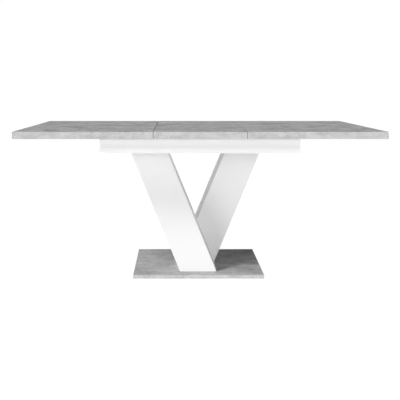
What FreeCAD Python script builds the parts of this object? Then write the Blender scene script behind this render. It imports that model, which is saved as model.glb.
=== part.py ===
import FreeCAD, Part
import math
import os

# Extendable dining table. Two slanting box legs make a V on a base plate and carry an apron
# box. Two half tops slide on the box and stand apart round a loose leaf, which is laid in the
# gap, or stored in the box when the table is closed.
#
# Millimetres. X runs along the table, Y from front to rear, Z up. The origin is on the floor
# under the middle of the table. The table is modelled extended, with its leaf laid in.

# ---------------------------------------------------------------- driving sizes
# tops
HALF_LENGTH = 660.0
LEAF_LENGTH = 440.0
TOP_DEPTH = 800.0
TOP_HEIGHT = 758.0
TOP_BOARD = 16.0
STRIP_HEIGHT = 18.0
LONG_STRIP_WIDTH = 130.0
END_STRIP_WIDTH = 60.0
EDGE_BAND = 1.0
SEAM_GAP = 2.0

# apron box
APRON_HEIGHT = 68.4
APRON_BOARD = 16.0
APRON_SETBACK = 30.0
LEAF_END_ROOM = 59.0
GLIDE_TAPE = 1.2
GLIDE_TAPE_WIDTH = 10.0
GLIDE_TAPE_INSET = 12.0
SLIDE_GAP = 0.4

# legs and base plate
LEG_WIDTH = 187.0
LEG_DEPTH = 170.0
LEG_BOARD = 16.0
LEG_TOP_OFFSET = 258.5
LEG_BLOCK_HEIGHT = 60.0
PLATE_LENGTH = 660.0
PLATE_DEPTH = 450.0
PLATE_BOARD = 18.0
FLOOR_GLIDE_HEIGHT = 3.0
FLOOR_GLIDE_RADIUS = 14.0
FLOOR_GLIDE_INSET = 32.0

# mounting boards over the legs
MOUNT_BOARD = 18.0
MOUNT_MARGIN = 36.5

# sliding gear
OUT_TRAVEL = 25.0
RUNNER_WIDTH = 22.0
RUNNER_HEIGHT = 34.0
RUNNER_RELIEF = 1.5
RUNNER_END_GAP = 4.0
RUNNER_INNER_GAP = 38.5
GUIDE_WIDTH = 14.0
GUIDE_TOP_GAP = 4.0
GUIDE_FROM_APRON = 38.0
TONGUE_LENGTH = 6.0
TONGUE_HEIGHT = 8.0
TONGUE_FROM_RUNNER_TOP = 14.0
TRACK_SIDE_GAP = 1.0
RUN_CLEARANCE = 0.4
STOP_PIN_RADIUS = 4.0
STOP_PIN_INSET = 15.0
STOP_PIN_DEPTH = 10.0
STOP_PIN_FLOOR_GAP = 4.0
STOP_BLOCK_LENGTH = 24.0
STOP_BLOCK_LIFT = 1.0
STOP_BLOCK_TO_RUNNER = 6.0
STOP_CLEARANCE = 0.5

# fastenings
HOLE_CLEARANCE = 0.15
BOLT_RADIUS = 4.0
BOLT_HEAD_RADIUS = 7.0
BOLT_HEAD_HEIGHT = 5.0
BOLT_DEPTH = 35.0
BOLT_INSET = 28.0
NUT_RADIUS = 6.0
NUT_LENGTH = 15.0
SCREW_RADIUS = 2.0
SCREW_HEAD_RADIUS = 4.0
SCREW_HEAD_HEIGHT = 3.0
SCREW_BITE = 14.0
FOOT_SCREW_RADIUS = 2.5
FOOT_SCREW_HEAD_RADIUS = 5.0
FOOT_SCREW_HEAD_HEIGHT = 4.0
FOOT_SCREW_BITE = 40.0
RUNNER_SCREW_COUNT = 3
RUNNER_SCREW_MARGIN = 15.0
RUNNER_SCREW_SINK = 16.0
GUIDE_SCREW_SPREAD = 50.0
DOWEL_RADIUS = 4.0
DOWEL_IN_EDGE = 20.0
DOWEL_IN_FACE = 10.0
CAM_RADIUS = 7.5
CAM_DEPTH = 12.5
CAM_FROM_END = 34.0
CAM_SPREAD = 90.0
CAM_BOLT_RADIUS = 3.0
CAM_BOLT_IN_FACE = 11.0
CAM_BOLT_INTO_CAM = 3.0
CORNER_BLOCK_LENGTH = 30.0
CORNER_BLOCK_WIDTH = 13.0
CORNER_BLOCK_HEIGHT = 34.0
CORNER_BLOCK_LIFT = 2.0

# ---------------------------------------------------------------- sizes that follow
top_under = TOP_HEIGHT - TOP_BOARD - STRIP_HEIGHT
strip_top = TOP_HEIGHT - TOP_BOARD
half_inner_edge = LEAF_LENGTH / 2 + SEAM_GAP
half_outer_edge = half_inner_edge + HALF_LENGTH
closing_travel = half_inner_edge

apron_top = top_under - SLIDE_GAP - GLIDE_TAPE
apron_bottom = apron_top - APRON_HEIGHT
apron_y = TOP_DEPTH / 2 - APRON_SETBACK
apron_inner_y = apron_y - APRON_BOARD
apron_inner_x = TOP_DEPTH / 2 + LEAF_END_ROOM
apron_x = apron_inner_x + APRON_BOARD

plate_top = FLOOR_GLIDE_HEIGHT + PLATE_BOARD
leg_height = apron_bottom - plate_top
leg_slope = LEG_TOP_OFFSET / leg_height
leg_board_across = LEG_BOARD * math.hypot(1.0, leg_slope)
leg_inside_half = LEG_WIDTH / 2 - leg_board_across

mount_top = apron_bottom + MOUNT_BOARD
mount_half_width = LEG_WIDTH / 2 + MOUNT_MARGIN

guide_y = apron_inner_y - GUIDE_FROM_APRON - GUIDE_WIDTH / 2
guide_top = top_under - GUIDE_TOP_GAP
tongue_z = top_under - TONGUE_FROM_RUNNER_TOP - TONGUE_HEIGHT / 2
runner_bottom = top_under - RUNNER_HEIGHT
runner_outer_end = apron_inner_x - OUT_TRAVEL - RUNNER_END_GAP
runner_reach = apron_inner_x - closing_travel - RUNNER_INNER_GAP
groove_depth = TONGUE_LENGTH - TRACK_SIDE_GAP + RUN_CLEARANCE
stop_pin_x = runner_reach - STOP_PIN_INSET
stop_face_x = stop_pin_x - STOP_PIN_RADIUS - OUT_TRAVEL - STOP_CLEARANCE

LEFT, RIGHT = -1, 1
FRONT, REAR = -1, 1


# ---------------------------------------------------------------- shape helpers
def block(xs, ys, zs):
    """A box between two values of x, of y and of z, given in any order."""
    low = FreeCAD.Vector(min(xs), min(ys), min(zs))
    size = [abs(ends[1] - ends[0]) for ends in (xs, ys, zs)]
    return Part.makeBox(size[0], size[1], size[2], low)


def rod(start, direction, length, radius):
    """A round bar from a start point along a direction."""
    return Part.makeCylinder(radius, length, FreeCAD.Vector(*start), FreeCAD.Vector(*direction))


def screw(start, direction, length, radius, head_radius, head_height):
    """A screw whose head starts at the start point and whose shank runs to its full length."""
    head = rod(start, direction, head_height, head_radius)
    return head.fuse(rod(start, direction, length, radius)).removeSplitter()


def screw_hole(start, direction, length, radius, head_radius, head_height):
    """The room that a screw of the same sizes takes, with clearance all round."""
    wide = head_radius + HOLE_CLEARANCE
    narrow = radius + HOLE_CLEARANCE
    return screw(start, direction, length, narrow, wide, head_height)


def slanted(lean, x_offsets, ys, zs):
    """A board along a leg: its two long edges lean from the plate up to the apron."""
    corners = []
    for z, offsets in ((zs[0], x_offsets), (zs[1], x_offsets[::-1])):
        middle = lean * leg_slope * (z - plate_top)
        corners += [FreeCAD.Vector(middle + offset, ys[0], z) for offset in offsets]
    outline = Part.makePolygon(corners + corners[:1])
    return Part.Face(outline).extrude(FreeCAD.Vector(0, ys[1] - ys[0], 0))


def ring(xs, ys, zs, wall):
    """A band round the four upright sides of a slab, just inside the given box."""
    outer = block(xs, ys, zs)
    inner = block((xs[0] + wall, xs[1] - wall), (ys[0] + wall, ys[1] - wall), zs)
    return outer.cut(inner)


def cut_all(body, tools):
    """The body with every tool taken out of it."""
    for tool in tools:
        body = body.cut(tool)
    return body


def save(node, solids):
    """Writes one node: one solid, or a group of separate ones."""
    shape = solids[0] if len(solids) == 1 else Part.makeCompound(solids)
    if not shape.isValid():
        raise ValueError("the shape of " + node + " is not valid")
    shape.exportStep("parts/" + node + ".step")


def mirrored(ends, side):
    """A pair of distances from the middle, on the left or the right of it, in rising order."""
    return sorted(side * end for end in ends)


# ---------------------------------------------------------------- tops
def top_slab(name, xs):
    """A slab of the top: its board, the strips that thicken it, and its edge band."""
    ys = (-TOP_DEPTH / 2, TOP_DEPTH / 2)
    inner_xs = (xs[0] + EDGE_BAND, xs[1] - EDGE_BAND)
    inner_ys = (ys[0] + EDGE_BAND, ys[1] - EDGE_BAND)
    save(name + "_board", [block(inner_xs, inner_ys, (strip_top, TOP_HEIGHT))])

    long_y = TOP_DEPTH / 2 - LONG_STRIP_WIDTH
    front = block(inner_xs, (inner_ys[0], -long_y), (top_under, strip_top))
    rear = block(inner_xs, (long_y, inner_ys[1]), (top_under, strip_top))
    low_end = (inner_xs[0], xs[0] + END_STRIP_WIDTH)
    high_end = (xs[1] - END_STRIP_WIDTH, inner_xs[1])
    ends = [block(span, (-long_y, long_y), (top_under, strip_top)) for span in (low_end, high_end)]
    strips = [front, rear] + ends
    return strips, ring(xs, ys, (top_under, TOP_HEIGHT), EDGE_BAND)


def runner_track(side):
    """The distance of a half's runners from the middle plane: the left half's are the outer ones."""
    offset = GUIDE_WIDTH / 2 + TRACK_SIDE_GAP + RUNNER_WIDTH / 2
    return guide_y - side * offset


def runner_screw_axis(side):
    """Runner screws stand in the middle of the wood that the groove leaves."""
    return runner_track(side) - side * groove_depth / 2


def runner_screws(side):
    """The screw that holds each runner under its half, as start points and sizes."""
    first = half_inner_edge + RUNNER_SCREW_MARGIN + SCREW_HEAD_RADIUS
    last = runner_outer_end - RUNNER_SCREW_MARGIN
    step = (last - first) / (RUNNER_SCREW_COUNT - 1)
    starts = []
    for across in (FRONT, REAR):
        for count in range(RUNNER_SCREW_COUNT):
            x = side * (first + count * step)
            y = across * runner_screw_axis(side)
            starts.append((x, y, runner_bottom + RUNNER_SCREW_SINK))
    length = RUNNER_HEIGHT - RUNNER_SCREW_SINK + SCREW_BITE
    return starts, (0, 0, 1), length, SCREW_RADIUS, SCREW_HEAD_RADIUS, SCREW_HEAD_HEIGHT


def half_top(name, side):
    """One half of the top, with the runners that carry it."""
    xs = mirrored((half_inner_edge, half_outer_edge), side)
    strips, band = top_slab(name + "_top", xs)
    starts, *sizes = runner_screws(side)
    save(name + "_top_strips", [cut_all(strip, near(strip, starts, sizes)) for strip in strips])
    save(name + "_top_edge_band", [band])
    save(name + "_runner_screws", [screw(start, *sizes) for start in starts])

    pins = []
    for across, end in ((FRONT, "front"), (REAR, "rear")):
        pin_start = (-side * stop_pin_x, across * runner_track(side), runner_bottom + STOP_PIN_DEPTH)
        pin_length = pin_start[2] - mount_top - STOP_PIN_FLOOR_GAP
        pins.append(rod(pin_start, (0, 0, -1), pin_length, STOP_PIN_RADIUS))
        save(name + "_runner_" + end, [runner(side, across, starts, sizes, pin_start)])
    save(name + "_stop_pins", pins)


def near(solid, starts, sizes):
    """Holes for those screws whose line meets the solid."""
    holes = [screw_hole(start, *sizes) for start in starts]
    return [hole for hole in holes if hole.BoundBox.intersect(solid.BoundBox)]


def runner(side, across, starts, sizes, pin_start):
    """A grooved bar screwed under a half: it is lowered where the leaf and the other half pass."""
    track = runner_track(side)
    ys = (across * (track - RUNNER_WIDTH / 2), across * (track + RUNNER_WIDTH / 2))
    ends = (side * runner_outer_end, -side * runner_reach)
    bar = block(ends, ys, (runner_bottom, top_under))
    lowered = (side * (half_inner_edge + SEAM_GAP), -side * runner_reach)
    relief = block(lowered, ys, (top_under - RUNNER_RELIEF, top_under))

    grooved_face = track + side * RUNNER_WIDTH / 2
    groove_ys = (across * grooved_face, across * (grooved_face - side * groove_depth))
    reach = TONGUE_HEIGHT / 2 + RUN_CLEARANCE
    groove = block(ends, groove_ys, (tongue_z - reach, tongue_z + reach))

    bar = cut_all(bar, [relief, groove] + near(bar, starts, sizes))
    for start in starts:
        sink = rod(start, (0, 0, -1), RUNNER_SCREW_SINK, SCREW_HEAD_RADIUS + HOLE_CLEARANCE)
        bar = bar.cut(sink)
    return bar.cut(rod(pin_start, (0, 0, -1), STOP_PIN_DEPTH, STOP_PIN_RADIUS + HOLE_CLEARANCE))


def leaf():
    """The loose leaf that fills the gap between the halves."""
    strips, band = top_slab("leaf", (-LEAF_LENGTH / 2, LEAF_LENGTH / 2))
    save("leaf_strips", strips)
    save("leaf_edge_band", [band])


# ---------------------------------------------------------------- apron box
def corner_dowels():
    """Dowels that join the end boards to the front and rear boards."""
    dowels = []
    for side in (LEFT, RIGHT):
        for across in (FRONT, REAR):
            for share in (0.3, 0.75):
                x = side * (apron_x - APRON_BOARD / 2)
                z = apron_bottom + share * APRON_HEIGHT
                start = (x, across * (apron_inner_y - DOWEL_IN_EDGE), z)
                dowels.append((start, (0, across, 0), DOWEL_IN_EDGE + DOWEL_IN_FACE))
    return dowels


def cam_positions():
    """Places of the cam locks: two at each end of each mounting board, as x, across and y."""
    places = []
    for side in (LEFT, RIGHT):
        for across in (FRONT, REAR):
            for shift in (-CAM_SPREAD, CAM_SPREAD):
                x = side * LEG_TOP_OFFSET + shift
                places.append((x, across, across * (apron_inner_y - CAM_FROM_END)))
    return places


def cam_bolts():
    """Bolts that stand in the front and rear boards and reach into the cams."""
    height = apron_bottom + MOUNT_BOARD / 2
    bolts = []
    for x, across, y in cam_positions():
        start = (x, y + across * (CAM_RADIUS - CAM_BOLT_INTO_CAM), height)
        length = CAM_FROM_END - CAM_RADIUS + CAM_BOLT_INTO_CAM + CAM_BOLT_IN_FACE
        bolts.append((start, (0, across, 0), length))
    return bolts


def rods_of(places, radius):
    """Round bars at a list of start, direction and length."""
    return [rod(start, direction, length, radius) for start, direction, length in places]


def corner_block(side, across):
    """A joint block in a corner of the box, as its ranges of x, y and z."""
    xs = mirrored((apron_inner_x - CORNER_BLOCK_LENGTH, apron_inner_x), side)
    ys = mirrored((apron_inner_y - CORNER_BLOCK_WIDTH, apron_inner_y), across)
    low = mount_top + CORNER_BLOCK_LIFT
    return xs, ys, (low, low + CORNER_BLOCK_HEIGHT)


def corner_screws():
    """Screws through the joint blocks: one into the end board, one into the front or rear one."""
    sizes = (SCREW_RADIUS, SCREW_HEAD_RADIUS, SCREW_HEAD_HEIGHT)
    bite = APRON_BOARD * 0.6
    screws = []
    for side in (LEFT, RIGHT):
        for across in (FRONT, REAR):
            middle_y = across * (apron_inner_y - CORNER_BLOCK_WIDTH / 2)
            middle_x = side * (apron_inner_x - CORNER_BLOCK_LENGTH / 2)
            low, high = corner_block(side, across)[2]
            along = (side * (apron_inner_x - CORNER_BLOCK_LENGTH), middle_y, high - 10.0)
            screws.append((along, (side, 0, 0), CORNER_BLOCK_LENGTH + bite) + sizes)
            over = (middle_x, across * (apron_inner_y - CORNER_BLOCK_WIDTH), low + 10.0)
            screws.append((over, (0, across, 0), CORNER_BLOCK_WIDTH + bite) + sizes)
    return screws


def apron():
    """The four boards of the box, its joints, and the tapes that the tops slide on."""
    screws = corner_screws()
    holes = [screw_hole(*each) for each in screws]
    holes += rods_of(corner_dowels(), DOWEL_RADIUS + HOLE_CLEARANCE)
    holes += rods_of(cam_bolts(), CAM_BOLT_RADIUS + HOLE_CLEARANCE)
    zs = (apron_bottom, apron_top)
    for across, end in ((FRONT, "front"), (REAR, "rear")):
        long_board = block((-apron_x, apron_x), mirrored((apron_inner_y, apron_y), across), zs)
        save("apron_" + end, [cut_all(long_board, holes)])
    for side, end in ((LEFT, "left"), (RIGHT, "right")):
        ys = (-apron_inner_y, apron_inner_y)
        end_board = block(mirrored((apron_inner_x, apron_x), side), ys, zs)
        save("apron_" + end, [cut_all(end_board, holes)])

    blocks = [block(*corner_block(side, across)) for side in (LEFT, RIGHT) for across in (FRONT, REAR)]
    save("corner_joint_blocks", [cut_all(each, holes) for each in blocks])
    save("corner_block_screws", [screw(*each) for each in screws])
    save("corner_dowels", rods_of(corner_dowels(), DOWEL_RADIUS))
    save("cam_bolts", rods_of(cam_bolts(), CAM_BOLT_RADIUS))

    tape_x = apron_x - GLIDE_TAPE_INSET
    tape_ys = [apron_y - APRON_BOARD / 2 + shift for shift in (-GLIDE_TAPE_WIDTH / 2, GLIDE_TAPE_WIDTH / 2)]
    tape_zs = (apron_top, apron_top + GLIDE_TAPE)
    save("glide_tapes", [block((-tape_x, tape_x), mirrored(tape_ys, across), tape_zs)
                         for across in (FRONT, REAR)])


def cam_locks():
    """Cam locks, let into the mounting boards from below, each with a slot for the driver."""
    cams = []
    bolts = rods_of(cam_bolts(), CAM_BOLT_RADIUS + HOLE_CLEARANCE)
    for x, across, y in cam_positions():
        cam = rod((x, y, apron_bottom), (0, 0, 1), CAM_DEPTH, CAM_RADIUS - HOLE_CLEARANCE)
        slot = block((x - 5.0, x + 5.0), (y - 0.8, y + 0.8), (apron_bottom, apron_bottom + 2.0))
        cams.append(cut_all(cam, [slot] + bolts))
    save("cam_locks", cams)


# ---------------------------------------------------------------- mounting boards, guides
def leg_bolt_places(side):
    """The four bolts of a leg, in plan, at the top of its head block."""
    across = side
    spread_x = leg_inside_half - BOLT_INSET
    spread_y = LEG_DEPTH / 2 - LEG_BOARD - BOLT_INSET
    return [(side * LEG_TOP_OFFSET + dx, across * LEG_DEPTH / 2 + dy)
            for dx in (-spread_x, spread_x) for dy in (-spread_y, spread_y)]


def guide_screw_places():
    """Screws up through the mounting boards into the guides, in plan."""
    return [(side * LEG_TOP_OFFSET + shift, across * guide_y)
            for side in (LEFT, RIGHT) for across in (FRONT, REAR)
            for shift in (-GUIDE_SCREW_SPREAD, GUIDE_SCREW_SPREAD)]


def guide_screws():
    """The guide screws, as start points and sizes."""
    length = MOUNT_BOARD + SCREW_BITE
    sizes = (SCREW_RADIUS, SCREW_HEAD_RADIUS, SCREW_HEAD_HEIGHT)
    return [((x, y, apron_bottom), (0, 0, 1), length) + sizes for x, y in guide_screw_places()]


def leg_bolt(x, y):
    """A bolt with its head sunk in the mounting board, running down into the leg."""
    start = (x, y, mount_top - 1.0)
    return start, (0, 0, -1), MOUNT_BOARD - 1.0 + BOLT_DEPTH, BOLT_RADIUS, BOLT_HEAD_RADIUS, BOLT_HEAD_HEIGHT


def mounting_boards():
    """The boards across the box that the legs hang from, with their bolts and threaded inserts."""
    bolts = []
    inserts = []
    for side, end in ((LEFT, "left"), (RIGHT, "right")):
        middle = side * LEG_TOP_OFFSET
        board = block((middle - mount_half_width, middle + mount_half_width),
                      (-apron_inner_y, apron_inner_y), (apron_bottom, mount_top))
        holes = rods_of(cam_bolts(), CAM_BOLT_RADIUS + HOLE_CLEARANCE)
        holes += [rod((x, y, apron_bottom), (0, 0, 1), CAM_DEPTH, CAM_RADIUS)
                  for x, across, y in cam_positions()]
        holes += [screw_hole(*each) for each in guide_screws()]
        for x, y in leg_bolt_places(side):
            bolts.append(screw(*leg_bolt(x, y)))
            holes.append(screw_hole(*leg_bolt(x, y)))
            holes.append(rod((x, y, mount_top), (0, 0, -1), 1.0, BOLT_HEAD_RADIUS + HOLE_CLEARANCE))
            sleeve = rod((x, y, apron_bottom), (0, 0, -1), NUT_LENGTH, NUT_RADIUS)
            bore = rod((x, y, apron_bottom), (0, 0, -1), NUT_LENGTH, BOLT_RADIUS + HOLE_CLEARANCE)
            inserts.append(sleeve.cut(bore))
        save("mounting_board_" + end, [cut_all(board, holes)])
    save("leg_bolts", bolts)
    save("leg_bolt_inserts", inserts)


def guides():
    """The fixed guides, with a tongue on each side for the runners, and the stop blocks on them."""
    holes = [screw_hole(*each) for each in guide_screws()]
    stops = []
    for across, end in ((FRONT, "front"), (REAR, "rear")):
        xs = (-apron_inner_x, apron_inner_x)
        body_ys = mirrored((guide_y - GUIDE_WIDTH / 2, guide_y + GUIDE_WIDTH / 2), across)
        tongue_reach = GUIDE_WIDTH / 2 + TONGUE_LENGTH
        tongue_ys = mirrored((guide_y - tongue_reach, guide_y + tongue_reach), across)
        body = block(xs, body_ys, (mount_top, guide_top))
        tongues = block(xs, tongue_ys, (tongue_z - TONGUE_HEIGHT / 2, tongue_z + TONGUE_HEIGHT / 2))
        save("guide_" + end, [cut_all(body.fuse(tongues).removeSplitter(), holes)])
        for side in (LEFT, RIGHT):
            stop_xs = (-side * (stop_face_x - STOP_BLOCK_LENGTH), -side * stop_face_x)
            near_y = guide_y - side * GUIDE_WIDTH / 2
            far_y = runner_track(side) - side * RUNNER_WIDTH / 2
            stop_zs = (mount_top + STOP_BLOCK_LIFT, runner_bottom - STOP_BLOCK_TO_RUNNER)
            stops.append(block(stop_xs, (across * near_y, across * far_y), stop_zs))
    save("stop_blocks", stops)
    save("guide_screws", [screw(*each) for each in guide_screws()])


# ---------------------------------------------------------------- legs and base plate
def leg(name, side):
    """A box leg of four boards round a head block and a foot block. It leans to one side."""
    ys = mirrored((0.0, LEG_DEPTH), side)
    front_ys = (ys[0], ys[0] + LEG_BOARD)
    rear_ys = (ys[1] - LEG_BOARD, ys[1])
    inner_ys = (front_ys[1], rear_ys[0])
    half = LEG_WIDTH / 2
    full = (plate_top, apron_bottom)
    save(name + "_front_panel", [slanted(side, (-half, half), front_ys, full)])
    save(name + "_rear_panel", [slanted(side, (-half, half), rear_ys, full)])
    save(name + "_left_panel", [slanted(side, (-half, -leg_inside_half), inner_ys, full)])
    save(name + "_right_panel", [slanted(side, (leg_inside_half, half), inner_ys, full)])

    inside = (-leg_inside_half, leg_inside_half)
    head = slanted(side, inside, inner_ys, (apron_bottom - LEG_BLOCK_HEIGHT, apron_bottom))
    for x, y in leg_bolt_places(side):
        head = head.cut(rod((x, y, apron_bottom), (0, 0, -1), NUT_LENGTH, NUT_RADIUS))
        head = head.cut(screw_hole(*leg_bolt(x, y)))
    save(name + "_head_block", [head])
    foot = slanted(side, inside, inner_ys, (plate_top, plate_top + LEG_BLOCK_HEIGHT))
    save(name + "_foot_block", [cut_all(foot, near(foot, foot_screw_starts(), foot_screw_sizes()))])


def foot_screw_starts():
    """Screws up through the base plate into the foot blocks, at the plate's underside."""
    spread_x = leg_inside_half - BOLT_INSET
    spread_y = LEG_DEPTH / 2 - LEG_BOARD - BOLT_INSET
    return [(dx, side * LEG_DEPTH / 2 + dy, FLOOR_GLIDE_HEIGHT)
            for side in (FRONT, REAR) for dx in (-spread_x, spread_x) for dy in (-spread_y, spread_y)]


def foot_screw_sizes():
    """Direction, length and radii of a foot screw."""
    length = PLATE_BOARD + FOOT_SCREW_BITE
    return (0, 0, 1), length, FOOT_SCREW_RADIUS, FOOT_SCREW_HEAD_RADIUS, FOOT_SCREW_HEAD_HEIGHT


def base_plate():
    """The plate that the legs stand on, its edge band, its screws and its floor glides."""
    xs = (-PLATE_LENGTH / 2, PLATE_LENGTH / 2)
    ys = (-PLATE_DEPTH / 2, PLATE_DEPTH / 2)
    zs = (FLOOR_GLIDE_HEIGHT, plate_top)
    inner = block((xs[0] + EDGE_BAND, xs[1] - EDGE_BAND), (ys[0] + EDGE_BAND, ys[1] - EDGE_BAND), zs)
    save("base_plate", [cut_all(inner, near(inner, foot_screw_starts(), foot_screw_sizes()))])
    save("base_plate_edge_band", [ring(xs, ys, zs, EDGE_BAND)])
    save("foot_screws", [screw(start, *foot_screw_sizes()) for start in foot_screw_starts()])

    glide_x = PLATE_LENGTH / 2 - FLOOR_GLIDE_INSET
    glide_y = PLATE_DEPTH / 2 - FLOOR_GLIDE_INSET
    save("floor_glides", [rod((x, y, 0), (0, 0, 1), FLOOR_GLIDE_HEIGHT, FLOOR_GLIDE_RADIUS)
                          for x in (-glide_x, 0, glide_x) for y in (-glide_y, glide_y)])


os.makedirs("parts", exist_ok=True)
base_plate()
leg("front_leg", LEFT)
leg("rear_leg", RIGHT)
mounting_boards()
cam_locks()
apron()
guides()
half_top("left", LEFT)
half_top("right", RIGHT)
leaf()
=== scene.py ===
import math

import bmesh
import bpy
from bpy.props import FloatProperty, FloatVectorProperty, IntProperty, PointerProperty
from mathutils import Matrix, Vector


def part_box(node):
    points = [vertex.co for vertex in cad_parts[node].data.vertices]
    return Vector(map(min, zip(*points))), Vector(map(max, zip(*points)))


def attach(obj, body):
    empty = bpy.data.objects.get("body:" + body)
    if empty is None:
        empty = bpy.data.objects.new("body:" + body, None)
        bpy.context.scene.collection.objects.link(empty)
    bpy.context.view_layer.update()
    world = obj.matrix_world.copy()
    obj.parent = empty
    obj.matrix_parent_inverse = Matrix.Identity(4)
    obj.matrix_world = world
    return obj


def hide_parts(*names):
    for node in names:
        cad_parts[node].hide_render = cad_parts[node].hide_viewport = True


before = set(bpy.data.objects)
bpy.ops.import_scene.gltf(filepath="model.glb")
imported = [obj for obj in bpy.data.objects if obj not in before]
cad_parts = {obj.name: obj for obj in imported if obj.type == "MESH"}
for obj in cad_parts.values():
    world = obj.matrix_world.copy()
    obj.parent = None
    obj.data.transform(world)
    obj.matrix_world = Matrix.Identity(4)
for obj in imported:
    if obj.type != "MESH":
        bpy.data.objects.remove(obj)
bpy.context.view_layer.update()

bl_info = {
    "name": "Extendable dining table",
    "version": (1, 0, 0),
    "blender": (4, 5, 0),
    "location": "3D View > Sidebar > Table",
    "description": "Builds the finished pieces of an extendable dining table round its frame",
    "category": "Add Mesh",
}

# ---------------------------------------------------------------- the frame
SLABS = {
    "left_top": "left_half",
    "right_top": "right_half",
    "leaf": "loose_leaf",
}
# the sides, along X, on which each slab meets another
SEAM_SIDES = {"left_top": (1,), "right_top": (-1,), "leaf": (-1, 1)}
LEGS = ("front_leg", "rear_leg")
BASE = "base_frame"
LEG_LOW, LEG_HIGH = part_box("front_leg_front_panel")
MM = 0.001
BAND_THICKNESS = 1.0 * MM
# rounding of the boards' cut edges, and of strips, tapes and small fittings
ARRIS = 0.2 * MM
FINE_RADIUS = 0.3 * MM

# where each piece is cut from the endless decor print
DECOR_PLACES = {
    "left_top": (0.0, 0.0, 0.0),
    "right_top": (3.7, 1.9, 0.6),
    "leaf": (8.3, 5.1, 1.4),
    "base": (5.9, 7.7, 2.2),
    "edging": (2.1, 0.4, 0.9),
    "seam": (4.4, 2.6, 0.2),
}


# ---------------------------------------------------------------- settings
class TableSizes(bpy.types.PropertyGroup):
    """Small sizes of the finish, which the frame leaves out."""

    edge_radius: FloatProperty(
        name="Edging radius", description="Rounding of the concrete edging's long edges",
        default=0.4 * MM, min=0.1 * MM, subtype="DISTANCE", unit="LENGTH")
    board_radius: FloatProperty(
        name="Board edge radius", description="Rounding of the white boards' edges",
        default=0.7 * MM, min=0.1 * MM, subtype="DISTANCE", unit="LENGTH")
    hairline: FloatProperty(
        name="Hairline joint", description="Width of the fine joint between a face and its edging",
        default=0.15 * MM, min=0.02 * MM, subtype="DISTANCE", unit="LENGTH")
    timber_radius: FloatProperty(
        name="Timber edge radius", description="Rounding of the edges of the beech and pine pieces",
        default=0.8 * MM, min=0.1 * MM, subtype="DISTANCE", unit="LENGTH")
    round_steps: IntProperty(
        name="Steps in a rounding", description="Faces along each rounded edge",
        default=4, min=1, max=12)


class TableColours(bpy.types.PropertyGroup):
    """Colours of the finishes, as linear values."""

    concrete: FloatVectorProperty(
        name="Concrete decor", description="Mean colour of the concrete-look decor",
        default=(0.455, 0.455, 0.455), size=3, min=0, max=1, subtype="COLOR")
    white: FloatVectorProperty(
        name="White melamine", description="Colour of the white boards",
        default=(0.87, 0.87, 0.87), size=3, min=0, max=1, subtype="COLOR")
    backing: FloatVectorProperty(
        name="Backing sheet", description="Colour of the underside of the tops",
        default=(0.62, 0.62, 0.61), size=3, min=0, max=1, subtype="COLOR")
    chipboard: FloatVectorProperty(
        name="Chipboard", description="Mean colour of raw particle board",
        default=(0.47, 0.35, 0.21), size=3, min=0, max=1, subtype="COLOR")
    beech: FloatVectorProperty(
        name="Beech", description="Colour of the runners and guides",
        default=(0.55, 0.33, 0.17), size=3, min=0, max=1, subtype="COLOR")
    pine: FloatVectorProperty(
        name="Pine", description="Colour of the blocks inside the legs",
        default=(0.68, 0.47, 0.24), size=3, min=0, max=1, subtype="COLOR")
    steel: FloatVectorProperty(
        name="Zinc-plated steel", description="Colour of the screws, bolts and pins",
        default=(0.62, 0.63, 0.65), size=3, min=0, max=1, subtype="COLOR")
    felt: FloatVectorProperty(
        name="Felt", description="Colour of the floor glides",
        default=(0.07, 0.07, 0.075), size=3, min=0, max=1, subtype="COLOR")


class StageSettings(bpy.types.PropertyGroup):
    """The floor, the lights and the camera."""

    key_strength: FloatProperty(
        name="Key light", description="Strength of the light from high on the left", default=2.53,
        min=0)
    left_strength: FloatProperty(
        name="Left fill", description="Strength of the level light from the front left",
        default=1.7, min=0)
    right_strength: FloatProperty(
        name="Right fill", description="Strength of the level light from the front right",
        default=1.32, min=0)
    front_strength: FloatProperty(
        name="Front fill", description="Strength of the light from straight ahead", default=0.25,
        min=0)
    top_strength: FloatProperty(
        name="Top light", description="Strength of the light from above", default=0.47, min=0)
    rear_strength: FloatProperty(
        name="Rear fill", description="Strength of the level light from the rear left",
        default=0.8, min=0)
    right_rear_strength: FloatProperty(
        name="Right and rear fill", description="Strength of the level lights from the right and "
        "the rear right", default=0.36, min=0)
    sky: FloatProperty(
        name="Room light", description="Light that comes evenly from all round", default=0.01, min=0)
    floor_tone: FloatProperty(
        name="Floor tone", description="Share of light that the floor gives back", default=0.8,
        min=0, max=1)
    floor_glow: FloatProperty(
        name="Floor glow", description="How bright the floor looks to the camera", default=1.02,
        min=0)
    camera_place: FloatVectorProperty(
        name="Camera place", description="Where the camera stands", size=3,
        default=(-0.1113, -3.0323, 0.9777), subtype="TRANSLATION", unit="LENGTH")
    camera_pitch: FloatProperty(
        name="Camera pitch", description="Angle at which the camera looks down",
        default=math.radians(2.0), subtype="ANGLE", unit="ROTATION")
    lens: FloatProperty(
        name="Lens", description="Focal length in millimetres, on a 36 mm sensor", default=50.771)
    shift_x: FloatProperty(
        name="Shift across", description="Sideways shift of the lens", default=0.0586)
    shift_y: FloatProperty(
        name="Shift up", description="Upward shift of the lens", default=-0.2386)


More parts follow.
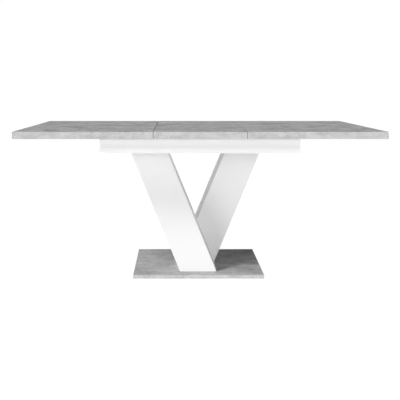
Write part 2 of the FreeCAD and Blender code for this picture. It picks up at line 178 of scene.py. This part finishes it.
# ---------------------------------------------------------------- node recipes
class Recipe:
    """A material in the making: each call adds one node and wires it."""

    def __init__(self, name, **shader_values):
        self.material = bpy.data.materials.new(name)
        self.material.use_nodes = True
        self.tree = self.material.node_tree
        self.shader = self.tree.nodes["Principled BSDF"]
        for socket, value in shader_values.items():
            self.shader.inputs[socket.replace("_", " ")].default_value = value
        self.place = self.add("ShaderNodeTexCoord").outputs["Object"]

    def add(self, kind, inputs=(), **settings):
        node = self.tree.nodes.new(kind)
        for key, value in settings.items():
            setattr(node, key, value)
        for key, value in dict(inputs).items():
            if isinstance(value, bpy.types.NodeSocket):
                self.tree.links.new(value, node.inputs[key])
            else:
                node.inputs[key].default_value = value
        return node

    def link(self, output, socket):
        self.tree.links.new(output, self.shader.inputs[socket])

    def stretched(self, scale, offset=(0, 0, 0), turn=(0, 0, 0)):
        values = {"Vector": self.place, "Scale": scale, "Location": offset, "Rotation": turn}
        return self.add("ShaderNodeMapping", values).outputs["Vector"]

    def noise(self, vector, scale, detail=4.0, rough=0.55, distort=0.0):
        values = {"Vector": vector, "Scale": scale, "Detail": detail, "Roughness": rough,
                  "Distortion": distort}
        return self.add("ShaderNodeTexNoise", values).outputs["Fac"]

    def math(self, operation, first, second=0.0, clamp=False):
        values = {0: first, 1: second}
        return self.add("ShaderNodeMath", values, operation=operation, use_clamp=clamp).outputs[0]

    def weighed(self, *parts):
        """The sum of some values, each with its weight."""
        total = 0.0
        for value, weight in parts:
            total = self.add("ShaderNodeMath", {0: value, 1: weight, 2: total},
                             operation="MULTIPLY_ADD").outputs[0]
        return total

    def spread(self, value, low, high, to_low=0.0, to_high=1.0):
        """Takes a value from one range to another, smoothly, and holds it there."""
        values = {"Value": value, "From Min": low, "From Max": high,
                  "To Min": to_low, "To Max": to_high}
        return self.add("ShaderNodeMapRange", values, interpolation_type="SMOOTHSTEP").outputs[0]

    def ramp(self, value, stops):
        node = self.add("ShaderNodeValToRGB", {"Fac": value})
        elements = node.color_ramp.elements
        while len(elements) < len(stops):
            elements.new(0.5)
        for element, (position, colour) in zip(elements, stops):
            element.position = position
            element.color = (*colour, 1.0)
        return node.outputs["Color"]

    def mix(self, factor, first, second, blend="MIX"):
        node = self.add("ShaderNodeMix", data_type="RGBA", blend_type=blend)
        for key, value in ((0, factor), (6, first), (7, second)):
            if isinstance(value, bpy.types.NodeSocket):
                self.tree.links.new(value, node.inputs[key])
            else:
                node.inputs[key].default_value = value
        return node.outputs[2]

    def bump(self, height, strength, depth):
        values = {"Height": height, "Strength": strength, "Distance": depth}
        self.link(self.add("ShaderNodeBump", values).outputs["Normal"], "Normal")


def toned(colour, factor):
    """A colour made lighter or darker."""
    return tuple(min(1.0, channel * factor) for channel in colour)


def concrete(name, colour, offset, scale, contrast):
    """Printed concrete decor: soft clouds, trowel streaks along X, pale veins, pores and grain."""
    recipe = Recipe(name, Specular_IOR_Level=0.12)
    flat = recipe.stretched((0.4 * scale, scale, scale), offset, (0.0, 0.0, math.radians(3.0)))
    even = recipe.stretched((scale, scale, scale), offset)
    streaks = recipe.noise(flat, 17.0, 7.0, 0.64, 1.0)
    clouds = recipe.noise(even, 14.0, 5.0, 0.6, 0.6)
    mottle = recipe.noise(even, 60.0, 4.0, 0.65, 0.2)
    grain = recipe.noise(even, 620.0, 2.0, 0.7)
    print_tone = recipe.weighed((streaks, 0.5), (clouds, 0.2), (mottle, 0.3))
    shades = recipe.ramp(recipe.spread(print_tone, 0.37, 0.63), (
        (0.0, toned(colour, 1.0 - contrast)),
        (0.45, toned(colour, 1.0 - 0.12 * contrast)),
        (0.7, toned(colour, 1.0 + 0.3 * contrast)),
        (1.0, toned(colour, 1.0 + 0.8 * contrast)),
    ))

    ridge = recipe.math("SUBTRACT", recipe.noise(flat, 12.0, 6.0, 0.6, 1.6), 0.5)
    vein = recipe.spread(recipe.math("ABSOLUTE", ridge), 0.0, 0.03, 0.45, 0.0)
    veined = recipe.mix(vein, shades, (*toned(colour, 1.0 + 0.9 * contrast), 1.0))
    speckle = recipe.ramp(recipe.spread(grain, 0.3, 0.7), ((0.0, [0.93] * 3), (1.0, [1.0] * 3)))
    speckled = recipe.mix(1.0, veined, speckle, "MULTIPLY")

    holes = recipe.add("ShaderNodeTexVoronoi", {"Vector": even, "Scale": 95.0, "Randomness": 1.0})
    patches = recipe.spread(recipe.noise(even, 11.0, 2.0, 0.5), 0.52, 0.64)
    pore = recipe.math("MULTIPLY", recipe.spread(holes.outputs["Distance"], 0.04, 0.12, 1.0, 0.0), patches)
    recipe.link(recipe.mix(recipe.math("MULTIPLY", pore, 0.4), speckled,
                           (*toned(colour, 0.5), 1.0)), "Base Color")

    recipe.link(recipe.spread(print_tone, 0.3, 0.7, 0.8, 0.7), "Roughness")
    recipe.bump(recipe.weighed((mottle, 1.0), (grain, 0.35), (pore, -0.8)), 0.15, 0.1 * MM)
    return recipe.material


def white_melamine(colours):
    """Satin white melamine: a faint orange peel and a trace of unevenness in tone and gloss."""
    recipe = Recipe("white_melamine", Specular_IOR_Level=0.4)
    peel = recipe.noise(recipe.place, 650.0, 2.0, 0.5)
    cast = recipe.noise(recipe.place, 3.0, 3.0, 0.5)
    recipe.link(recipe.ramp(recipe.spread(cast, 0.3, 0.7), (
        (0.0, toned(colours.white, 0.992)), (1.0, toned(colours.white, 1.006)))), "Base Color")
    recipe.link(recipe.spread(cast, 0.3, 0.7, 0.36, 0.42), "Roughness")
    recipe.bump(peel, 0.12, 0.08 * MM)
    return recipe.material


def backing_sheet(colours):
    """Grey backing paper under the tops: matt, faintly mottled."""
    recipe = Recipe("backing_sheet", Specular_IOR_Level=0.3)
    mottle = recipe.noise(recipe.place, 30.0, 5.0, 0.6)
    recipe.link(recipe.ramp(recipe.spread(mottle, 0.3, 0.7), (
        (0.0, toned(colours.backing, 0.95)), (1.0, toned(colours.backing, 1.04)))), "Base Color")
    recipe.link(recipe.spread(mottle, 0.3, 0.7, 0.6, 0.7), "Roughness")
    recipe.bump(recipe.noise(recipe.place, 400.0, 2.0, 0.5), 0.15, 0.1 * MM)
    return recipe.material


def chipboard(colours):
    """Raw particle board: pressed flakes, lighter and darker, with open gaps between them."""
    recipe = Recipe("chipboard", Roughness=0.85, Specular_IOR_Level=0.2)
    flake_place = recipe.stretched((0.5, 0.5, 1.6))
    flakes = recipe.add("ShaderNodeTexVoronoi", {"Vector": flake_place, "Scale": 480.0})
    lumps = recipe.noise(recipe.place, 160.0, 4.0, 0.6)
    shade = recipe.add("ShaderNodeSeparateColor", {"Color": flakes.outputs["Color"]}).outputs[0]
    blend = recipe.math("ADD", recipe.math("MULTIPLY", shade, 0.6), recipe.math("MULTIPLY", lumps, 0.4))
    recipe.link(recipe.ramp(blend, (
        (0.1, toned(colours.chipboard, 0.6)), (0.5, toned(colours.chipboard, 1.0)),
        (0.9, toned(colours.chipboard, 1.4)))), "Base Color")
    recipe.bump(blend, 0.5, 0.4 * MM)
    return recipe.material


def timber(name, colour, along, gloss):
    """Planed timber with its grain along one axis: rings, fibres and short dark flecks."""
    recipe = Recipe(name, Specular_IOR_Level=0.35)
    slow = tuple(0.06 if axis == along else 1.0 for axis in "XYZ")
    long_grain = recipe.stretched(slow)
    rings = recipe.noise(long_grain, 60.0, 5.0, 0.6, 0.8)
    fibres = recipe.noise(long_grain, 900.0, 3.0, 0.6)
    flecks = recipe.spread(recipe.noise(recipe.stretched(tuple(3.0 * s for s in slow)), 260.0, 1.0, 0.5),
                           0.64, 0.72)
    body = recipe.ramp(recipe.spread(rings, 0.3, 0.7), (
        (0.0, toned(colour, 0.78)), (0.5, colour), (1.0, toned(colour, 1.18))))
    fibred = recipe.mix(recipe.math("MULTIPLY", recipe.spread(fibres, 0.35, 0.65), 0.25), body,
                        (*toned(colour, 0.8), 1.0))
    recipe.link(recipe.mix(recipe.math("MULTIPLY", flecks, 0.5), fibred, (*toned(colour, 0.55), 1.0)),
                "Base Color")
    recipe.link(recipe.spread(rings, 0.3, 0.7, gloss - 0.05, gloss + 0.08), "Roughness")
    recipe.bump(fibres, 0.25, 0.12 * MM)
    return recipe.material


def plated_metal(name, colour, rough):
    """Zinc plate: metallic, with a faint crystal pattern and fine drawing lines."""
    recipe = Recipe(name, Metallic=1.0)
    crystal = recipe.add("ShaderNodeTexVoronoi", {"Vector": recipe.place, "Scale": 350.0})
    cast = recipe.add("ShaderNodeSeparateColor", {"Color": crystal.outputs["Color"]}).outputs[0]
    recipe.link(recipe.ramp(cast, ((0.0, toned(colour, 0.85)), (1.0, toned(colour, 1.1)))), "Base Color")
    recipe.link(recipe.spread(cast, 0.0, 1.0, rough - 0.06, rough + 0.08), "Roughness")
    recipe.bump(recipe.noise(recipe.place, 1500.0, 2.0, 0.5), 0.1, 0.05 * MM)
    return recipe.material


def nylon(name):
    """White moulded nylon: slightly waxy, with moulding texture."""
    recipe = Recipe(name, Specular_IOR_Level=0.4, Subsurface_Weight=0.05)
    texture = recipe.noise(recipe.place, 700.0, 2.0, 0.5)
    recipe.link(recipe.ramp(texture, ((0.0, (0.72, 0.72, 0.7)), (1.0, (0.8, 0.8, 0.77)))), "Base Color")
    recipe.link(recipe.spread(texture, 0.3, 0.7, 0.42, 0.52), "Roughness")
    recipe.bump(texture, 0.2, 0.05 * MM)
    return recipe.material


def felt(colours):
    """Dense grey felt: matted fibres."""
    recipe = Recipe("felt", Roughness=0.95, Specular_IOR_Level=0.1, Sheen_Weight=0.4)
    fibres = recipe.noise(recipe.stretched((1.0, 0.4, 1.0)), 1400.0, 4.0, 0.7, 1.5)
    recipe.link(recipe.ramp(recipe.spread(fibres, 0.3, 0.7), (
        (0.0, toned(colours.felt, 0.6)), (1.0, toned(colours.felt, 1.7)))), "Base Color")
    recipe.bump(fibres, 0.8, 0.4 * MM)
    return recipe.material


def finish(name, maker, *details):
    """The material of that name, made on its first use."""
    return bpy.data.materials.get(name) or maker(*details)


def edging_finish(colours, name, tone, place):
    """Concrete-look edging, with a smaller and fainter print than the decor boards."""
    scale, contrast = 2.2, 0.18
    return finish(name, concrete, name, toned(colours.concrete, tone), DECOR_PLACES[place], scale, contrast)


# ---------------------------------------------------------------- mesh helpers
def piece_from(mesh, name, body, nodes, materials):
    """Makes an object of a finished bmesh, puts it on its body and hides what it stands for."""
    data = bpy.data.meshes.new(name)
    mesh.to_mesh(data)
    smooth = [face.smooth for face in mesh.faces]
    mesh.free()
    piece = bpy.data.objects.new(name, data)
    bpy.context.scene.collection.objects.link(piece)
    for material in materials:
        data.materials.append(material)
    data.set_sharp_from_angle(angle=math.radians(50.0))
    data.polygons.foreach_set("use_smooth", smooth)
    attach(piece, body)
    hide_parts(*nodes)
    return piece


def rounded(mesh, edges, radius, steps):
    """Rounds some edges of a mesh. Only the rounding is shaded smooth, so that faces stay flat."""
    result = bmesh.ops.bevel(mesh, geom=edges, offset=radius, offset_type="OFFSET",
                             segments=steps, profile=0.5, affect="EDGES", clamp_overlap=True)
    for face in result["faces"]:
        face.smooth = face.calc_area() < face.calc_perimeter() / 2 * radius


def add_prism(mesh, outline, start, end, axis):
    """Adds a prism: an outline in the two other axes, drawn out from start to end along one axis."""
    def point(pair, depth):
        values = list(pair)
        values.insert("XYZ".index(axis), depth)
        return values

    rings = [[mesh.verts.new(point(pair, depth)) for pair in outline] for depth in (start, end)]
    count = len(outline)
    faces = [mesh.faces.new(rings[0]), mesh.faces.new(rings[1][::-1])]
    for here in range(count):
        there = (here + 1) % count
        faces.append(mesh.faces.new((rings[0][there], rings[0][here], rings[1][here], rings[1][there])))
    bmesh.ops.recalc_face_normals(mesh, faces=faces)
    return faces


def edges_of(faces):
    """Every edge of some faces, once."""
    return list({edge for face in faces for edge in face.edges})


def add_board(mesh, low, high, radius, steps):
    """Adds a board between two corners, all of its edges finely rounded."""
    outline = [(low[0], low[1]), (high[0], low[1]), (high[0], high[1]), (low[0], high[1])]
    faces = add_prism(mesh, outline, low[2], high[2], "Z")
    rounded(mesh, edges_of(faces), radius, steps)


def add_band(mesh, low, high, thick, radius, steps):
    """Adds an edging round the four upright sides of a slab: its outer long edges are rounded."""
    arc = [radius * (1.0 - math.cos(math.radians(90.0) * step / steps)) for step in range(steps + 1)]
    rise = [radius * (1.0 - math.sin(math.radians(90.0) * step / steps)) for step in range(steps + 1)]
    profile = [(thick, low[2])]
    profile += [(inset, low[2] + up) for inset, up in zip(arc[::-1], rise[::-1])]
    profile += [(inset, high[2] - up) for inset, up in zip(arc, rise)]
    profile += [(thick, high[2])]
    rings = []
    for inset, z in profile:
        xs = (low[0] + inset, high[0] - inset)
        ys = (low[1] + inset, high[1] - inset)
        corners = ((xs[0], ys[0]), (xs[1], ys[0]), (xs[1], ys[1]), (xs[0], ys[1]))
        rings.append([mesh.verts.new((x, y, z)) for x, y in corners])
    arcs = (*range(1, steps + 1), *range(steps + 2, 2 * steps + 2))
    faces = []
    for number, (lower, upper) in enumerate(zip(rings, rings[1:] + rings[:1])):
        for here in range(4):
            there = (here + 1) % 4
            face = mesh.faces.new((lower[here], lower[there], upper[there], upper[here]))
            face.smooth = number in arcs
            faces.append(face)
    bmesh.ops.recalc_face_normals(mesh, faces=faces)


def solids_of(node):
    """The separate solids of a CAD node, each as its lowest and highest corner."""
    mesh = bmesh.new()
    mesh.from_mesh(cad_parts[node].data)
    bmesh.ops.remove_doubles(mesh, verts=mesh.verts, dist=1e-6)
    left = set(mesh.verts)
    boxes = []
    while left:
        group = {left.pop()}
        edge = set(group)
        while edge:
            edge = {other for vert in edge for link in vert.link_edges
                    for other in link.verts if other in left}
            left -= edge
            group |= edge
        places = [vert.co for vert in group]
        boxes.append((Vector([min(p[axis] for p in places) for axis in range(3)]),
                      Vector([max(p[axis] for p in places) for axis in range(3)])))
    mesh.free()
    return sorted(boxes, key=lambda pair: tuple(round(value, 4) for value in pair[0]))


def softened(node, radius, steps, material):
    """Keeps a CAD node, with its finish, and rounds its sharp edges by modifiers alone."""
    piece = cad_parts[node]
    piece.data.materials.clear()
    piece.data.materials.append(material)
    weld = piece.modifiers.new("Weld", "WELD")
    weld.merge_threshold = 1e-6
    bevel = piece.modifiers.new("Rounded edges", "BEVEL")
    bevel.width = radius
    bevel.segments = steps
    bevel.limit_method = "ANGLE"
    bevel.angle_limit = math.radians(40.0)
    bevel.use_clamp_overlap = True
    bevel.harden_normals = True


# ---------------------------------------------------------------- pieces
class TABLE_OT_tops(bpy.types.Operator):
    """Builds the halves and the leaf: decor boards, rounded edging and the strips beneath"""

    bl_idname = "table.tops"
    bl_label = "Tops and leaf"

    def execute(self, context):
        sizes = context.scene.table_sizes
        colours = context.scene.table_colours
        edging = edging_finish(colours, "concrete_edging", 1.17, "edging")
        # painted shade: the edging faces that look into the gap between slabs get the concrete tone at 0.3,
        # standing in for the shadow in that gap
        seam = edging_finish(colours, "seam_edging", 0.3, "seam")
        backing = finish("backing_sheet", backing_sheet, colours)
        raw = finish("chipboard", chipboard, colours)
        for slab, body in SLABS.items():
            decor = concrete("concrete_" + slab, colours.concrete, DECOR_PLACES[slab],
                             scale=1.0, contrast=0.4)
            self.board(slab, body, sizes, decor, backing)
            self.edging(slab, body, sizes, edging, seam)
            self.strips(slab, body, backing, raw)
        return {"FINISHED"}

    def board(self, slab, body, sizes, decor, backing):
        """The decor board: decor above, backing sheet below, a hairline short of its edging."""
        low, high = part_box(slab + "_board")
        gap = Vector((sizes.hairline, sizes.hairline, 0.0))
        mesh = bmesh.new()
        add_board(mesh, low + gap, high - gap, ARRIS, 2)
        for face in mesh.faces:
            face.material_index = 1 if face.normal.z < -0.9 else 0
        piece_from(mesh, slab + "_decor_board", body, [slab + "_board"],
                   [decor, backing])

    def edging(self, slab, body, sizes, edging, seam):
        """The edging: one band round the slab, mitred at the corners, with painted shade where slabs meet:
        those faces are toned much darker, standing in for the shadow in the gap.
        """
        low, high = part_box(slab + "_edge_band")
        mesh = bmesh.new()
        add_band(mesh, low, high, BAND_THICKNESS, sizes.edge_radius, sizes.round_steps)
        middle = (low.x + high.x) / 2
        for face in mesh.faces:
            side = 1 if face.calc_center_median().x > middle else -1
            # painted shade: faces that look into a gap between slabs take the darker material
            if side in SEAM_SIDES[slab] and face.normal.x * side > 0.3:
                face.material_index = 1
        piece_from(mesh, slab + "_edging", body, [slab + "_edge_band"],
                   [edging, seam])

    def strips(self, slab, body, backing, raw):
        """The strips that thicken the slab: backing sheet below, raw chipboard at the sides."""
        mesh = bmesh.new()
        for low, high in solids_of(slab + "_strips"):
            add_board(mesh, low, high, FINE_RADIUS, 2)
        for face in mesh.faces:
            face.material_index = 0 if face.normal.z < -0.9 else 1
        piece_from(mesh, slab + "_build_up_strips", body, [slab + "_strips"],
                   [backing, raw])


class TABLE_OT_legs(bpy.types.Operator):
    """Builds the eight boards of the two slanting box legs, and the blocks inside them"""

    bl_idname = "table.legs"
    bl_label = "Legs"

    def execute(self, context):
        sizes = context.scene.table_sizes
        colours = context.scene.table_colours
        white = finish("white_melamine", white_melamine, colours)
        pine = finish("pine", timber, "pine", colours.pine, "Z", 0.6)
        for leg in LEGS:
            for side in ("front", "rear", "left", "right"):
                self.board(leg + "_" + side + "_panel", sizes, white)
            for block in ("_head_block", "_foot_block"):
                softened(leg + block, sizes.timber_radius, 2, pine)
        return {"FINISHED"}

    def board(self, node, sizes, white):
        """One slanting board. Its outline is a parallelogram that leans with its leg."""
        low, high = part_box(node)
        lean = 1.0 if node.startswith("rear") else -1.0
        run = (LEG_HIGH.x - LEG_LOW.x) - (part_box("front_leg_front_panel")[1].x * 2.0)
        across = (high.x - low.x) - run
        foot = low.x if lean > 0 else high.x - across
        head = high.x - across if lean > 0 else low.x
        outline = [(foot, low.z), (foot + across, low.z), (head + across, high.z), (head, high.z)]
        mesh = bmesh.new()
        faces = add_prism(mesh, outline, low.y, high.y, "Y")
        rounded(mesh, edges_of(faces), sizes.board_radius, sizes.round_steps)
        piece_from(mesh, node.replace("_panel", "_board"), BASE, [node], [white])


class TABLE_OT_apron(bpy.types.Operator):
    """Finishes the apron box: its four boards, the boards over the legs, joint blocks and tapes"""

    bl_idname = "table.apron"
    bl_label = "Apron box"

    def execute(self, context):
        sizes = context.scene.table_sizes
        white = finish("white_melamine", white_melamine, context.scene.table_colours)
        plastic = finish("nylon", nylon, "nylon")
        for side in ("front", "rear", "left", "right"):
            softened("apron_" + side, sizes.board_radius, sizes.round_steps, white)
        for side in ("left", "right"):
            softened("mounting_board_" + side, 0.4 * MM, 2, white)
        softened("corner_joint_blocks", 0.8 * MM, 3, plastic)
        softened("glide_tapes", FINE_RADIUS, 2, plastic)
        return {"FINISHED"}


class TABLE_OT_sliding_gear(bpy.types.Operator):
    """Finishes the runners, the guides, the stop blocks and the stop pins"""

    bl_idname = "table.sliding_gear"
    bl_label = "Sliding gear"

    def execute(self, context):
        sizes = context.scene.table_sizes
        colours = context.scene.table_colours
        beech = finish("beech", timber, "beech", colours.beech, "X", 0.45)
        steel = finish("zinc_steel", plated_metal, "zinc_steel", colours.steel, 0.32)
        for node in ("left_runner_front", "left_runner_rear", "right_runner_front",
                     "right_runner_rear", "guide_front", "guide_rear", "stop_blocks"):
            softened(node, sizes.timber_radius, 2, beech)
        for node in ("left_stop_pins", "right_stop_pins"):
            softened(node, 0.6 * MM, 2, steel)
        return {"FINISHED"}


class TABLE_OT_fastenings(bpy.types.Operator):
    """Finishes the screws, bolts, inserts, cam locks and dowels"""

    bl_idname = "table.fastenings"
    bl_label = "Fastenings"

    def execute(self, context):
        colours = context.scene.table_colours
        steel = finish("zinc_steel", plated_metal, "zinc_steel", colours.steel, 0.32)
        cast = finish("cast_zinc", plated_metal, "cast_zinc", toned(colours.steel, 0.85), 0.5)
        beech = finish("beech", timber, "beech", colours.beech, "X", 0.45)
        for node in ("leg_bolts", "leg_bolt_inserts", "foot_screws", "corner_block_screws",
                     "guide_screws", "left_runner_screws", "right_runner_screws", "cam_bolts"):
            softened(node, FINE_RADIUS, 2, steel)
        softened("cam_locks", FINE_RADIUS, 2, cast)
        softened("corner_dowels", 0.5 * MM, 2, beech)
        return {"FINISHED"}


class TABLE_OT_base(bpy.types.Operator):
    """Builds the base plate with its edging, and the felt glides under it"""

    bl_idname = "table.base"
    bl_label = "Base plate"

    def execute(self, context):
        sizes = context.scene.table_sizes
        colours = context.scene.table_colours
        decor = concrete("concrete_base", colours.concrete, DECOR_PLACES["base"], scale=1.25, contrast=0.28)
        edging = edging_finish(colours, "concrete_edging", 1.17, "edging")
        low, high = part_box("base_plate")
        gap = Vector((sizes.hairline, sizes.hairline, 0.0))
        mesh = bmesh.new()
        add_board(mesh, low + gap, high - gap, ARRIS, 2)
        piece_from(mesh, "base_decor_board", BASE, ["base_plate"], [decor])

        low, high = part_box("base_plate_edge_band")
        mesh = bmesh.new()
        add_band(mesh, low, high, BAND_THICKNESS, sizes.edge_radius, sizes.round_steps)
        piece_from(mesh, "base_edging", BASE, ["base_plate_edge_band"], [edging])

        mesh = bmesh.new()
        for low, high in solids_of("floor_glides"):
            self.glide(mesh, low, high)
        piece_from(mesh, "felt_glides", BASE, ["floor_glides"],
                   [finish("felt", felt, colours)])
        return {"FINISHED"}

    def glide(self, mesh, low, high):
        """A round felt pad, a little crushed at its lower rim."""
        middle = (low + high) / 2
        radius = (high.x - low.x) / 2
        around = 48
        profile = ((0.94, low.z), (0.99, low.z + 0.5 * MM), (1.0, middle.z), (0.985, high.z))
        rings = []
        for share, z in profile:
            turn = [math.tau * step / around for step in range(around)]
            rings.append([mesh.verts.new((middle.x + share * radius * math.cos(angle),
                                          middle.y + share * radius * math.sin(angle), z))
                          for angle in turn])
        faces = [mesh.faces.new(rings[0][::-1]), mesh.faces.new(rings[-1])]
        for lower, upper in zip(rings, rings[1:]):
            for here in range(around):
                there = (here + 1) % around
                face = mesh.faces.new((lower[here], lower[there], upper[there], upper[here]))
                face.smooth = True
                faces.append(face)
        bmesh.ops.recalc_face_normals(mesh, faces=faces)


# ---------------------------------------------------------------- stage
class TABLE_OT_stage(bpy.types.Operator):
    """Sets up the pale floor, the room light, the far softboxes and the camera"""

    bl_idname = "table.stage"
    bl_label = "Stage"

    def execute(self, context):
        stage = context.scene.table_stage
        self.floor(stage)
        self.room(stage)
        # each light: azimuth left of the camera, elevation, spread, strength
        lights = {
            "key_light": (65.0, 40.0, 14.0, stage.key_strength),
            "left_fill": (45.0, 3.0, 40.0, stage.left_strength),
            "right_fill": (-22.0, 2.0, 22.0, stage.right_strength),
            "front_fill": (0.0, 12.0, 25.0, stage.front_strength),
            "top_light": (0.0, 89.0, 20.0, stage.top_strength),
            "rear_left_fill": (140.0, 0.5, 5.0, stage.rear_strength),
            "rear_right_fill": (-140.0, 0.5, 5.0, stage.right_rear_strength),
            "right_side_fill": (-90.0, 0.5, 5.0, stage.right_rear_strength),
        }
        for name, (azimuth, elevation, spread, strength) in lights.items():
            self.far_softbox(name, math.radians(azimuth), math.radians(elevation),
                             math.radians(spread), strength)
        self.camera(stage)
        context.scene.view_settings.view_transform = "Standard"
        context.scene.view_settings.look = "None"
        return {"FINISHED"}

    def floor(self, stage):
        """A wide pale floor: it looks plain white, and gives back light as paint does."""
        mesh = bmesh.new()
        around, reach = 96, 40.0
        centre = mesh.verts.new((0.0, 0.0, 0.0))
        rim = [mesh.verts.new((reach * math.cos(math.tau * step / around),
                               reach * math.sin(math.tau * step / around), 0.0))
               for step in range(around)]
        for here in range(around):
            mesh.faces.new((centre, rim[here], rim[(here + 1) % around]))
        data = bpy.data.meshes.new("floor")
        mesh.to_mesh(data)
        mesh.free()
        floor = bpy.data.objects.new("floor", data)
        bpy.context.scene.collection.objects.link(floor)

        material = bpy.data.materials.new("floor_paint")
        material.use_nodes = True
        nodes, links = material.node_tree.nodes, material.node_tree.links
        nodes.remove(nodes["Principled BSDF"])
        paint = nodes.new("ShaderNodeBsdfDiffuse")
        paint.inputs["Color"].default_value = (*[stage.floor_tone] * 3, 1.0)
        glow = nodes.new("ShaderNodeEmission")
        glow.inputs["Strength"].default_value = stage.floor_glow
        seen = nodes.new("ShaderNodeLightPath")
        blend = nodes.new("ShaderNodeMixShader")
        links.new(seen.outputs["Is Camera Ray"], blend.inputs["Fac"])
        links.new(paint.outputs[0], blend.inputs[1])
        links.new(glow.outputs[0], blend.inputs[2])
        links.new(blend.outputs[0], nodes["Material Output"].inputs["Surface"])
        data.materials.append(material)

    def room(self, stage):
        """White surroundings, which light the table less brightly than they look."""
        world = bpy.data.worlds.new("room")
        bpy.context.scene.world = world
        world.use_nodes = True
        nodes, links = world.node_tree.nodes, world.node_tree.links
        seen = nodes.new("ShaderNodeLightPath")
        strength = nodes.new("ShaderNodeMapRange")
        strength.inputs["To Min"].default_value = stage.sky
        strength.inputs["To Max"].default_value = stage.floor_glow
        links.new(seen.outputs["Is Camera Ray"], strength.inputs["Value"])
        background = nodes["Background"]
        background.inputs["Color"].default_value = (1.0, 1.0, 1.0, 1.0)
        links.new(strength.outputs[0], background.inputs["Strength"])

    def far_softbox(self, name, azimuth, elevation, spread, strength):
        """A broad light far off, so that it is as strong at the feet as at the top."""
        light = bpy.data.lights.new(name, "SUN")
        light.angle = spread
        light.energy = strength
        level = math.cos(elevation)
        towards = Vector((-math.sin(azimuth) * level, -math.cos(azimuth) * level,
                          math.sin(elevation)))
        holder = bpy.data.objects.new(name, light)
        holder.location = towards * 3.0
        holder.rotation_euler = (-towards).to_track_quat("-Z", "Y").to_euler()
        bpy.context.scene.collection.objects.link(holder)

    def camera(self, stage):
        """A camera left of the middle, tipped down a little, its lens shifted to take in the feet."""
        data = bpy.data.cameras.new("camera")
        data.sensor_width = 36.0
        data.lens = stage.lens
        data.shift_x = stage.shift_x
        data.shift_y = stage.shift_y
        holder = bpy.data.objects.new("camera", data)
        holder.location = stage.camera_place
        holder.rotation_euler = (math.radians(90.0) - stage.camera_pitch, 0.0, 0.0)
        bpy.context.scene.collection.objects.link(holder)
        bpy.context.scene.camera = holder


# ---------------------------------------------------------------- add-on
OPERATORS = (TABLE_OT_tops, TABLE_OT_legs, TABLE_OT_apron, TABLE_OT_sliding_gear,
             TABLE_OT_fastenings, TABLE_OT_base, TABLE_OT_stage)


class TABLE_PT_panel(bpy.types.Panel):
    """Lists the table's pieces in the sidebar"""

    bl_idname = "TABLE_PT_panel"
    bl_label = "Extendable dining table"
    bl_space_type = "VIEW_3D"
    bl_region_type = "UI"
    bl_category = "Table"

    def draw(self, context):
        layout = self.layout
        for group in (context.scene.table_sizes, context.scene.table_colours,
                      context.scene.table_stage):
            box = layout.box()
            for name in group.__annotations__:
                box.prop(group, name)
        for operator in OPERATORS:
            layout.operator(operator.bl_idname)


CLASSES = (TableSizes, TableColours, StageSettings, *OPERATORS, TABLE_PT_panel)


def register():
    for each in CLASSES:
        bpy.utils.register_class(each)
    bpy.types.Scene.table_sizes = PointerProperty(type=TableSizes)
    bpy.types.Scene.table_colours = PointerProperty(type=TableColours)
    bpy.types.Scene.table_stage = PointerProperty(type=StageSettings)


def unregister():
    del bpy.types.Scene.table_stage
    del bpy.types.Scene.table_colours
    del bpy.types.Scene.table_sizes
    for each in reversed(CLASSES):
        bpy.utils.unregister_class(each)


def main():
    register()
    for step in (bpy.ops.table.tops, bpy.ops.table.legs, bpy.ops.table.apron,
                 bpy.ops.table.sliding_gear, bpy.ops.table.fastenings, bpy.ops.table.base,
                 bpy.ops.table.stage):
        step()


if __name__ == "__main__":
    main()
